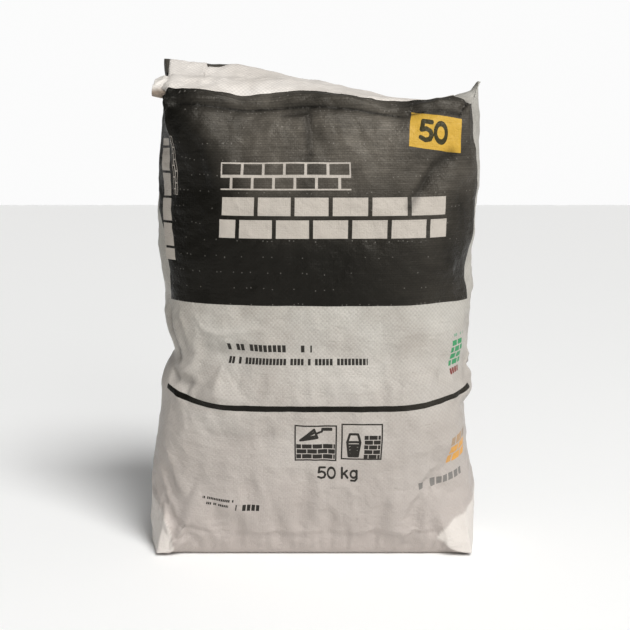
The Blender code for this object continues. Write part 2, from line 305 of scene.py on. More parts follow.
BUCKET = (
    ("stroke", ((0.1, 0.9), (0.9, 0.9), (0.78, 0.0), (0.22, 0.0), (0.1, 0.9))),
    ("stroke", ((0.16, 0.7), (0.84, 0.7), (0.2, 0.5), (0.82, 0.5), (0.22, 0.3), (0.8, 0.3), (0.24, 0.12),
                (0.78, 0.12))),
    ("stroke", ((0.1, 0.9), (0.25, 1.4), (0.75, 1.4), (0.9, 0.9))),
)

# Light: strength of the surround, also on its dark left, and how bright it looks, then the lamps.
# The key is a sun with a wide disc, so that the floor is evenly lit. The panel gives the ink its
# satin sheen.
WORLD_LIGHT = 0.36
WORLD_DARK_SIDE = 0.14
WORLD_SEEN = 0.97
KEY_PLACE = (0.75, -1.30, 2.10)
KEY_STRENGTH = 2.45
KEY_DISC = math.radians(24.0)
PANEL_PLACE = (0.9, -2.1, 1.35)
PANEL_SIZE = 1.1
PANEL_POWER = 18.0

# Camera and photograph
FRAME_PX = 630
CAMERA_PLACE = Vector((0.0, -1.6, 0.56))
CAMERA_AIM = Vector((0.0, 0.0, 0.3017))
CAMERA_PX = 1267.3              # focal length in the photograph's pixels


def smooth(share):
    """0 to 1 with level ends, on arrays."""
    share = np.clip(share, 0.0, 1.0)
    return share * share * (3.0 - 2.0 * share)


def curve_through(xs, ys, x):
    """A curve through points: cubic pieces whose slopes at a point are its neighbours' chord."""
    xs = np.asarray(xs, float)
    ys = np.asarray(ys, float)
    slope = np.gradient(ys, xs)
    x = np.clip(x, xs[0], xs[-1])
    left = np.clip(np.searchsorted(xs, x) - 1, 0, len(xs) - 2)
    width = xs[left + 1] - xs[left]
    share = (x - xs[left]) / width
    bend = (
        (1 + 2 * share) * (1 - share) ** 2 * ys[left]
        + share * (1 - share) ** 2 * width * slope[left]
        + share ** 2 * (3 - 2 * share) * ys[left + 1]
        + share ** 2 * (share - 1) * width * slope[left + 1]
    )
    return bend


def quarter_outline(distance, reach, belly, roundness, corner, folded):
    """A quarter of a section, from a panel's middle to the side fold, at distances along it.

    The filled section is a superellipse, cut by arc length. The folded one is straight to the
    block's corner and straight on to the side fold. The two are mixed by folded, 0 to 1.
    """
    angle = np.linspace(0.0, 0.5 * math.pi, 241)
    x = reach * np.sin(angle) ** (2.0 / roundness)
    y = belly * np.cos(angle) ** (2.0 / roundness)
    run = np.concatenate(((0.0,), np.cumsum(np.hypot(np.diff(x), np.diff(y)))))
    along = distance / PANEL * 2.0 * run[-1]
    round_x = np.interp(along, run, x)
    round_y = np.interp(along, run, y)
    fold_x = np.interp(distance, (0.0, CORNER_U, 0.5 * PANEL), (0.0, corner, reach))
    fold_y = np.interp(distance, (0.0, 0.7 * CORNER_U, CORNER_U, 0.5 * PANEL),
                       (belly, belly, CORNER_BELLY * belly, 0.0))
    return round_x + folded * (fold_x - round_x), round_y + folded * (fold_y - round_y)


def section_outline(u, level):
    """The section at a level: x and y at the fabric's u, from four quarters."""
    values = [curve_through(SECTIONS[:, 0], SECTIONS[:, i], level) for i in range(1, 7)]
    left, right, front, back, round_left, round_right = (float(value) for value in values)
    near_top = smooth(np.array(1.0 - (TOP_FOLD - level) / TOP_FOLD_REACH))
    near_foot = smooth(np.array(1.0 - (level - BOTTOM_FOLD) / FOOT_FOLD_REACH))
    folded = float(np.maximum(near_top, near_foot))
    in_front = (u <= 0.5 * PANEL)
    from_middle = np.where(in_front, u, PANEL - u)
    distance = np.abs(from_middle)
    on_right = from_middle > 0
    x = np.empty_like(u)
    y = np.empty_like(u)
    corners = FOOT_CORNERS if near_foot > near_top else TOP_CORNERS
    quarters = (
        (left, round_left, front, ~on_right & in_front, -1, -1),
        (right, round_right, front, on_right & in_front, 1, -1),
        (left, round_left, back, ~on_right & ~in_front, -1, 1),
        (right, round_right, back, on_right & ~in_front, 1, 1),
    )
    for corner, (reach, roundness, belly, here, sign, facing) in zip(corners, quarters):
        across, deep = quarter_outline(distance[here], reach, belly, roundness, corner, folded)
        x[here] = sign * across
        y[here] = facing * deep
    return x, y


def panel_distance(u):
    """Distance round the tube from the nearest panel's middle."""
    return np.abs((u + 0.5 * PANEL) % PANEL - 0.5 * PANEL)


def side_lift(height, u):
    """How much higher than in the middle a print sits at a height, towards the sides."""
    by_height = np.interp(height, LIFT_HEIGHTS, (0.8 * SIDE_LIFT, SIDE_LIFT, 0.0))
    by_place = np.clip((panel_distance(u) - 95.0) / 110.0, 0.0, 1.25)
    return by_height * by_place ** 2


def row_shares():
    """Heights of the rows as shares of the front panel, with twice as many rows near the folds."""
    run = FRONT_LENGTH + 2.0 * CLOSER_ROWS
    stations = (0.0, 2.0 * CLOSER_ROWS, run - 2.0 * CLOSER_ROWS, run)
    heights = (0.0, CLOSER_ROWS, FRONT_LENGTH - CLOSER_ROWS, FRONT_LENGTH)
    return np.interp(np.linspace(0.0, run, CELLS_UP + 1), stations, heights) / FRONT_LENGTH


def wall_grid():
    """The walls, a closed ring of columns by rows upwards: points, u and v, in millimetres."""
    panel = np.linspace(-CORNER_U, CORNER_U, CELLS_ACROSS + 1)
    side = np.linspace(CORNER_U, PANEL - CORNER_U, CELLS_SIDE + 1)[1:]
    half = np.concatenate((panel, side))
    u = np.concatenate((half, PANEL + half[1:]))
    wrapped = np.where(u > 0.75 * TUBE, u - TUBE, u)
    rim_top = curve_through(RIM_TOP[:, 0], RIM_TOP[:, 1], wrapped)
    rim_foot = curve_through(RIM_FOOT[:, 0], RIM_FOOT[:, 1], panel_distance(wrapped))
    points = np.empty((CELLS_UP + 1, len(u), 3))
    for row, share in enumerate(row_shares()):
        x, y = section_outline(wrapped, BOTTOM_FOLD + share * FRONT_LENGTH)
        points[row] = np.stack((x, y, rim_foot + share * (rim_top - rim_foot)), axis=-1)
    v = points[..., 2] - BOTTOM_FOLD - side_lift(points[..., 2], wrapped)
    return points, np.broadcast_to(u, v.shape).copy(), v


def flatten_foot(walls, u):
    """The flat triangles at the foot's corners: straight lines from a slanted crease to the floor.

    In each column the points under the crease's height move to the straight line from the rim's
    point to the crease, which is found between two rows. Returns the points, and 1 on the triangles
    and 0 elsewhere.
    """
    distance = panel_distance(u[0])
    crushed = (u[0] < -0.5 * CORNER_U) | (u[0] > TUBE - 0.5 * PANEL)
    steep, gentle = (np.interp(distance, *zip(*facet)) for facet in (CRUSHED_FACET, FOOT_FACET))
    line = np.where(crushed, steep, gentle)
    inside = distance > np.where(crushed, CRUSHED_FACET[0][0], FOOT_FACET[0][0])
    row = np.clip((walls[..., 2] < line).sum(axis=0) - 1, 0, len(walls) - 2)
    lower = np.take_along_axis(walls, row[None, :, None], axis=0)
    upper = np.take_along_axis(walls, row[None, :, None] + 1, axis=0)
    part = (line[None, :, None] - lower[..., 2:]) / (upper[..., 2:] - lower[..., 2:])
    crease = lower + np.clip(part, 0.0, 1.0) * (upper - lower)
    foot = walls[:1]
    share = (walls[..., 2:] - foot[..., 2:]) / np.maximum(crease[..., 2:] - foot[..., 2:], 1.0)
    ruled = foot + share * (crease - foot)
    below = (np.arange(len(walls))[:, None] <= row[None, :]) & inside[None, :]
    clean = smooth((line[None, :] - walls[..., 2]) / 4.0 + 0.5) * inside[None, :]
    return np.where(below[..., None], ruled, walls), clean


def coons(front, back, left, right):
    """A grid of points between four edges: the two ruled grids added, less the corners' one."""
    s = np.linspace(0.0, 1.0, len(front))[None, :, None]
    t = np.linspace(0.0, 1.0, len(left))[:, None, None]
    ruled_up = (1 - t) * front[None] + t * back[None]
    ruled_across = (1 - s) * left[:, None] + s * right[:, None]
    corners = (
        (1 - s) * (1 - t) * front[0] + s * (1 - t) * front[-1]
        + (1 - s) * t * back[0] + s * t * back[-1]
    )
    return ruled_up + ruled_across - corners


def end_edges(ring, across=CELLS_ACROSS, side=CELLS_SIDE):
    """The front, back, left and right edge of a block end, from the closed ring of the walls there."""
    corner = across + side
    back = ring[corner:corner + across + 1][::-1]
    return ring[:across + 1], back, ring[corner + across:][::-1], ring[across:corner + 1]


def end_fabric(upper, cells_across, cells_side):
    """u and v on a block end. Each half carries on the panel next to it."""
    s = np.linspace(-1.0, 1.0, cells_across + 1)[None, :]
    t = np.linspace(0.0, 1.0, cells_side + 1)[:, None]
    depth = np.minimum(t, 1.0 - t)
    along = s * (CORNER_U + (0.5 * PANEL - CORNER_U) * 2.0 * depth)
    over = np.interp(depth, *zip(*(END_RUN if upper else FOOT_RUN))) + 0.0 * s
    u = np.where(t <= 0.5, along, PANEL - along)
    v = FRONT_LENGTH + over if upper else -over
    return u, v


def top_grid(ring):
    """The folded top block: rises from the front fold, and stands up at the rear left."""
    grid = coons(*end_edges(ring))
    t = np.linspace(0.0, 1.0, CELLS_SIDE + 1)[:, None]
    x = grid[..., 0]
    rim = grid[..., 2].copy()
    rows = [curve_through(TOP_COLUMNS, heights, x) for heights in TOP_HEIGHTS]
    t_all = np.broadcast_to(t, x.shape)
    stack = [rim[0][None, :] + 0 * x, *rows, rim[-1][None, :] + 0 * x]
    stations = (0.0, *TOP_ROWS, 1.0)
    height = np.zeros_like(x)
    for i in range(len(stations) - 1):
        share = (t_all - stations[i]) / (stations[i + 1] - stations[i])
        here = (share >= 0) & (share <= 1)
        height[here] = (stack[i] + (stack[i + 1] - stack[i]) * share)[here]
    height = soften(height, 3)
    from_side = np.minimum(np.abs(x - ring[:, 0].min()), np.abs(x - ring[:, 0].max()))
    inner = smooth(from_side / np.where(x > 0.0, 13.0, 18.0))
    edge = smooth(np.minimum(t_all, 1 - t_all) / 0.06)
    keep = inner * edge
    grid[..., 2] = rim + keep * (height - rim)
    return grid


def soften(values, rounds):
    """Average each value of a grid with its neighbours, edges kept."""
    values = values.copy()
    for _ in range(rounds):
        middle = values[1:-1, 1:-1]
        around = values[:-2, 1:-1] + values[2:, 1:-1] + values[1:-1, :-2] + values[1:-1, 2:]
        values[1:-1, 1:-1] = 0.5 * middle + 0.125 * around
    return values


def foot_grid(ring):
    """The folded bottom block: drops from the bottom fold to a flat foot."""
    grid = coons(*end_edges(ring))
    s = np.linspace(0.0, 1.0, CELLS_ACROSS + 1)[None, :]
    t = np.linspace(0.0, 1.0, CELLS_SIDE + 1)[:, None]
    inset_t = np.minimum(t, 1 - t) * 2 * 62.0
    inset_s = np.minimum(s, 1 - s) * 2 * FOOT_CORNERS[0] + 4.0
    inwards = np.minimum(inset_t, inset_s)
    drop = np.sin(0.5 * math.pi * np.clip(inwards / FOOT_INSET, 0.0, 1.0)) ** 1.2
    grid[..., 2] += drop * (FLOOR_GAP - grid[..., 2])
    return grid


def double_rows(grid, closed):
    """Twice the rows: each new row is a cubic through the four rows around it."""
    before = grid[-2:-1] if closed else 2 * grid[:1] - grid[1:2]
    after = grid[1:2] if closed else 2 * grid[-1:] - grid[-2:-1]
    padded = np.concatenate((before, grid, after))
    doubled = np.empty((2 * len(grid) - 1, *grid.shape[1:]))
    doubled[::2] = grid
    doubled[1::2] = (9.0 * (padded[1:-2] + padded[2:-1]) - padded[:-3] - padded[3:]) / 16.0
    return doubled


def double_grid(grid, closed=False):
    """Twice the cells each way. A closed grid runs round along its columns."""
    taller = double_rows(grid, False)
    return np.moveaxis(double_rows(np.moveaxis(taller, 1, 0), closed), 0, 1)


def ring_index(rows, columns):
    """The index grid of rings of points, closed by repeating the first column."""
    index = np.arange(rows * columns).reshape(rows, columns)
    return np.concatenate((index, index[:, :1]), axis=1)


def weld_lattice(walls, top, foot):
    """One list of points and an index grid for the walls, the top and the foot."""
    rows, columns = walls.shape[0], walls.shape[1] - 1
    wall_index = ring_index(rows, columns)
    points = [walls[:, :-1].reshape(-1, 3)]
    count = rows * columns
    grids = [wall_index]
    for end, row in ((top, rows - 1), (foot, 0)):
        high, wide = end.shape[:2]
        inner = (high - 2) * (wide - 2)
        index = np.zeros((high, wide), int)
        index[1:-1, 1:-1] = np.arange(count, count + inner).reshape(high - 2, wide - 2)
        index[0], index[-1], index[:, 0], index[:, -1] = end_edges(wall_index[row], wide - 1, high - 1)
        points.append(end[1:-1, 1:-1].reshape(-1, 3))
        grids.append(index)
        count += inner
    return np.concatenate(points), grids


def grid_index(grid):
    """The index grid of a grid of points."""
    return np.arange(grid.shape[0] * grid.shape[1]).reshape(grid.shape[:2])


def quads(index):
    """The faces of an index grid, four corners each."""
    corners = (index[:-1, :-1], index[:-1, 1:], index[1:, 1:], index[1:, :-1])
    return np.stack(corners, axis=-1).reshape(-1, 4)


def make_mesh(name, points_mm, faces, corner_uv=None):
    """A smooth mesh from arrays: points in millimetres, quads, and u and v at each corner."""
    mesh = bpy.data.meshes.new(name)
    mesh.vertices.add(len(points_mm))
    mesh.vertices.foreach_set("co", (np.asarray(points_mm) * MM).astype(np.float32).ravel())
    mesh.loops.add(faces.size)
    mesh.loops.foreach_set("vertex_index", faces.astype(np.int32).ravel())
    mesh.polygons.add(len(faces))
    mesh.polygons.foreach_set("loop_start", np.arange(0, faces.size, faces.shape[1], dtype=np.int32))
    mesh.polygons.foreach_set("loop_total", np.full(len(faces), faces.shape[1], np.int32))
    mesh.polygons.foreach_set("use_smooth", np.ones(len(faces), bool))
    mesh.update(calc_edges=True)
    if corner_uv is not None:
        layer = mesh.uv_layers.new(name="fabric")
        layer.data.foreach_set("uv", corner_uv.astype(np.float32).ravel())
    mesh.validate()
    return mesh


def fabric_uv(u, v):
    """The UV map's values, metres of fabric, from the front left corner and 0.1 below the fold.

    At the front left the print reaches a little further round the side in the upper part.
    """
    from_front = np.where(u > 0.5 * TUBE, u - TUBE, u)
    right_of = np.clip((from_front + 330.0) / 60.0, 0.0, 1.0)
    on_left = np.clip((-120.0 - from_front) / 70.0, 0.0, 1.0) * right_of
    slip = np.interp(v, *zip(*PRINT_SLIP)) * on_left
    return np.stack(((u + slip + CORNER_U) * MM, v * MM + UV_START), axis=-1)


def add_piece(name, mesh, material):
    """An object for a finished piece, which rides on the bag."""
    piece = bpy.data.objects.new(name, mesh)
    bpy.context.scene.collection.objects.link(piece)
    mesh.materials.append(material)
    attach(piece, "root")
    return piece


def linear(hex_colour):
    """sRGB hex to linear red, green, blue and alpha."""
    parts = [int(hex_colour[i:i + 2], 16) / 255.0 for i in (1, 3, 5)]
    return (*[c / 12.92 if c <= 0.04045 else ((c + 0.055) / 1.055) ** 2.4 for c in parts], 1.0)


def add_nodes(tree, rows):
    """Add nodes, one for each row: a name, a kind and the inputs, then named inputs and settings.

    A kind in capitals is a Math node's operation. Kind:SETTING gives another node's operation, or
    a Mix node's kind of data, and Kind.Output picks an output. An input is a number, a vector, a
    colour in hex, the name of an earlier row, or a row without a name. Inputs fill the sockets in
    use in their order. The same row is made once, and after the nodes that feed it, because Cycles
    compiles nodes in this order and runs out of room otherwise. Returns the outputs by row name.
    """
    made = {}
    nodes = {}

    def resolved(value):
        if isinstance(value, str):
            return linear(value) if value[0] == "#" else made[value]
        return add(*value) if isinstance(value, tuple) and isinstance(value[0], str) else value

    def add(kind, *inputs):
        kind, _, output = kind.partition(".")
        key = repr((kind, inputs))
        if key not in nodes:
            nodes[key] = new_node(kind, inputs)
        node = nodes[key]
        if output:
            return node.outputs[output]
        return next(socket for socket in node.outputs if socket.enabled)

    def new_node(kind, inputs):
        named = inputs[-1] if inputs and isinstance(inputs[-1], dict) else {}
        values = [resolved(value) for value in inputs if value is not named]
        named = {key: value if key.islower() else resolved(value) for key, value in named.items()}
        kind, _, operation = kind.partition(":")
        if kind.isupper():
            kind, operation = "Math", kind
        node = tree.nodes.new("ShaderNode" + kind)
        if operation:
            setattr(node, "data_type" if kind == "Mix" else "operation", operation)
        for key in filter(str.islower, named):
            setattr(node, key, named[key])
        sockets = [socket for socket in node.inputs if socket.enabled]
        pairs = list(zip(sockets, values))
        pairs += [(socket, named[socket.name]) for socket in sockets if socket.name in named]
        for socket, value in pairs:
            if isinstance(value, bpy.types.NodeSocket):
                tree.links.new(value, socket)
            else:
                socket.default_value = value
        return node

    for name, *row in rows:
        made[name] = add(*row)
    return made


def new_material(name, colour, roughness, rows=(), **links):
    """A polypropylene or plain finish: a Principled shader, with rows' outputs linked to its inputs."""
    material = bpy.data.materials.new(name)
    material.use_nodes = True
    inputs = material.node_tree.nodes["Principled BSDF"].inputs
    inputs["Base Color"].default_value = linear(colour)
    inputs["Roughness"].default_value = roughness
    inputs["IOR"].default_value = POLYPROPYLENE_IOR
    inputs["Specular Tint"].default_value = linear(COAT_TINT)
    inputs["Specular IOR Level"].default_value = COAT_SPECULAR
    made = add_nodes(material.node_tree, rows)
    for socket, row in links.items():
        material.node_tree.links.new(made[row], inputs[socket.replace("_", " ")])
    return material


# Setting of a MapRange row: level ends
SOFT = {"interpolation_type": "SMOOTHSTEP"}

# u and v in millimetres from the UV map, and the cloudy fields that vary the fabric
FABRIC = (
    ("map", "UVMap", {"uv_map": "fabric"}),
    ("u", "MULTIPLY_ADD", ("SeparateXYZ.X", "map"), 1000.0, -CORNER_U),
    ("v", "MULTIPLY_ADD", ("SeparateXYZ.Y", "map"), 1000.0, -1000.0 * UV_START),
    ("place", "TexCoord.Object"),
    ("clouds", "TexNoise", "place", 14.0, 4.0, 0.6),
    ("patches", "TexNoise", "place", 38.0, 3.0, 0.6),
    ("wrinkles", "TexNoise", ("VectorMath:MULTIPLY", "map", (42.0, 120.0, 0.0)), 1.0, 4.0, 0.62,
     {"Distortion": 0.4}),
    ("crinkles", "TexNoise", "place", 52.0, 5.0, 0.6),
)

# Plain weave of flat tapes: over and under by turns, each tape arched across its width. over is 1
# where an upright tape lies on top, weave is the height in tape thicknesses, and lines are the dark
# joints between the lying tapes.
WEAVE = (
    ("tape_u", "DIVIDE", "u", TAPE),
    ("tape_v", "DIVIDE", "v", TAPE),
    ("over", "FLOORED_MODULO", ("ADD", ("FLOOR", "tape_u"), ("FLOOR", "tape_v")), 2.0),
    ("arch_u", "ABSOLUTE", ("SINE", ("MULTIPLY", "tape_u", math.pi))),
    ("arch_v", "ABSOLUTE", ("SINE", ("MULTIPLY", "tape_v", math.pi))),
    ("weave", "Mix", "over", "arch_v", "arch_u"),
    ("lines", "LESS_THAN", "arch_v", 0.42),
)

# Cement dust on the ink, mixed with painted sheen and shade in the same dust colour: most on the upper part,
# which leans back, as a painted sheen, and little on the left, as painted shade
DUST_AND_SHEEN = (
    ("dust_left", "MapRange", ("MULTIPLY_ADD", "v", 0.42, "across"), 50.0, 125.0, 0.0, 1.0, SOFT),
    ("dust_right", "MapRange", "across", 60.0, 190.0, 1.0, 0.45, SOFT),
    ("dust_low", "MapRange", "across", 20.0, 190.0, 0.0, 0.06, SOFT),
    ("dust_rise", "MapRange", "v", 350.0, 500.0, 0.0, 1.0, SOFT),
    ("dust_lip", "MapRange", "v", 512.0, 532.0, 1.0, 0.62, SOFT),
    ("streaks", "TexNoise", ("VectorMath:MULTIPLY", "map", (24.0, 420.0, 0.0)), 1.0, 3.0, 0.6),
    ("dust_field", "MULTIPLY", ("MULTIPLY", "dust_rise", "dust_lip"),
     ("MULTIPLY", "dust_left", "dust_right")),
    ("dust_clouded", "MULTIPLY", ("MULTIPLY_ADD", "dust_field", INK_SHEEN, "dust_low"),
     ("MapRange", "clouds", 0.32, 0.68, 0.35, 1.6)),
    ("dust_share", "MULTIPLY", "dust_clouded", ("MapRange", "streaks", 0.3, 0.7, 0.75, 1.25)),
)


def bump_rows(weave_mm, wrinkle_mm, crinkle_mm):
    """The bump: weave, wrinkles and crinkles added up, with heights in metres."""
    ridge = ("ABSOLUTE", ("SUBTRACT", "crinkles", 0.5))
    low = ("MULTIPLY_ADD", "wrinkles", wrinkle_mm * MM, ("MULTIPLY", "weave", weave_mm * MM))
    height = ("MULTIPLY_ADD", ridge, -2.0 * crinkle_mm * MM, low)
    return (("bump", "Bump", {"Strength": 1.0, "Distance": 1.0, "Height": height}),)


def white_rows(light, dark):
    """White coated fabric: clouded between two whites, the tapes that lie on top a little lighter as a
    painted sheen.
    """
    return (
        ("clouded", "Mix:RGBA", ("MapRange", "clouds", 0.36, 0.64, 0.0, 1.0), dark, light),
        ("tone", "MULTIPLY", ("MapRange", "patches", 0.35, 0.7, 0.94, 1.05),
         ("MapRange", "over", 0.0, 1.0, 0.93, 1.06)),
        ("white", "VectorMath:SCALE", "clouded", "tone"),
    )


def turned(middle, angle):
    """The place on the panel, turned about a middle."""
    return ("VectorRotate", {"Vector": "panel", "Center": (*middle, 0.0), "Angle": angle})


def box(middle, half, angle=0.0):
    """Distance outside a box on the panel, in millimetres: less than 0 inside."""
    away = ("VectorMath:ABSOLUTE", ("VectorMath:SUBTRACT", turned(middle, angle), (*middle, 0.0)))
    past = ("VectorMath:SUBTRACT", away, (*half, 0.0))
    return ("MAXIMUM", ("SeparateXYZ.X", past), ("SeparateXYZ.Y", past))


def area(corner, size):
    """1 inside a box that starts at its lower left corner."""
    middle = (corner[0] + 0.5 * size[0], corner[1] + 0.5 * size[1])
    return ("LESS_THAN", box(middle, (0.5 * size[0], 0.5 * size[1])), 0.0)


def courses(output, corner, block, joint, colours=("#ffffff", "#ffffff"), upright=False):
    """Courses of blocks from a corner, a block's length and height taken with its joint."""
    return ("TexBrick." + output, {
        "Vector": ("VectorRotate", {"Vector": ("VectorMath:SUBTRACT", "panel", (*corner, 0.0)),
                                    "Angle": 0.5 * math.pi * upright}),
        "Scale": 1.0, "Mortar Size": 0.5 * joint, "Mortar Smooth": 0.0, "Brick Width": block[0],
        "Row Height": block[1], "Color1": colours[0], "Color2": colours[1],
    })


def blocks(corner, block, joint, size, **look):
    """1 on the blocks of the courses in a box that starts at its lower left corner."""
    return ("MULTIPLY", ("SUBTRACT", 1.0, courses("Fac", corner, block, joint, **look)), area(corner, size))


def block_gaps(corner, block, joint, size, **look):
    """1 round the blocks of the courses in a box, which stand out dark."""
    return ("SUBTRACT", area(corner, size), blocks(corner, block, joint, size, **look))


def coloured_blocks(corner, block, joint, size, *colours):
    """Courses of blocks in two colours, as a mask and its colour."""
    mask = blocks(corner, block, joint, size, colours=colours)
    return mask, courses("Color", corner, block, joint, colours)


def bars(corner, cell, height, width, seed):
    """A line of plain bars where small print stands: some bars left out, so that they group."""
    cells = ("DIVIDE", "across", cell)
    dice = ("TexWhiteNoise", ("ADD", ("FLOOR", cells), seed), {"noise_dimensions": "1D"})
    drawn = ("MULTIPLY", ("GREATER_THAN", dice, 0.17), ("LESS_THAN", ("FRACT", cells), 0.76))
    return ("MULTIPLY", drawn, area(corner, (width, height)))


def stroke_gap(origin, size, shapes, place="panel"):
    """Distance from the nearest of drawn strokes and rings, in millimetres.

    A stroke is a list of points, a ring is a middle and two radii, in a unit box of the given size.
    """
    best = 1e3
    for kind, shape in shapes:
        if kind == "ring":
            (x, y), (rx, ry) = shape
            off = ("VectorMath:SUBTRACT", place, (origin[0] + x * size, origin[1] + y * size, 0.0))
            unit = ("VectorMath:MULTIPLY", off, (1 / (rx * size), 1 / (ry * size), 0.0))
            apart = ("ABSOLUTE", ("SUBTRACT", ("VectorMath:LENGTH", unit), 1.0))
            best = ("MINIMUM", ("MULTIPLY", apart, 0.5 * (rx + ry) * size), best)
            continue
        for (x, y), (to_x, to_y) in zip(shape, shape[1:]):
            off = ("VectorMath:SUBTRACT", place, (origin[0] + x * size, origin[1] + y * size, 0.0))
            run = Vector(((to_x - x) * size, (to_y - y) * size, 0.0))
            share = ("Clamp", ("VectorMath:DOT_PRODUCT", off, tuple(run / run.length_squared)), 0.0, 1.0)
            past = ("VectorMath:SUBTRACT", off, ("VectorMath:SCALE", tuple(run), share))
            best = ("MINIMUM", ("VectorMath:LENGTH", past), best)
    return ("MAXIMUM", best, 0.0)


def strokes(origin, size, thick, *drawing):
    """1 within half a thickness of any of the strokes and rings."""
    return ("LESS_THAN", stroke_gap(origin, size, *drawing), 0.5 * thick)


def any_of(first, *others):
    """The largest of several masks."""
    for other in others:
        first = ("MAXIMUM", first, other)
    return ("MAXIMUM", first, 0.0)


def layered(base, *layers):
    """Colours laid over a base one after another, each where its mask is 1."""
    for mask, colour in layers:
        base = ("Mix:RGBA", mask, base, colour)
    return base


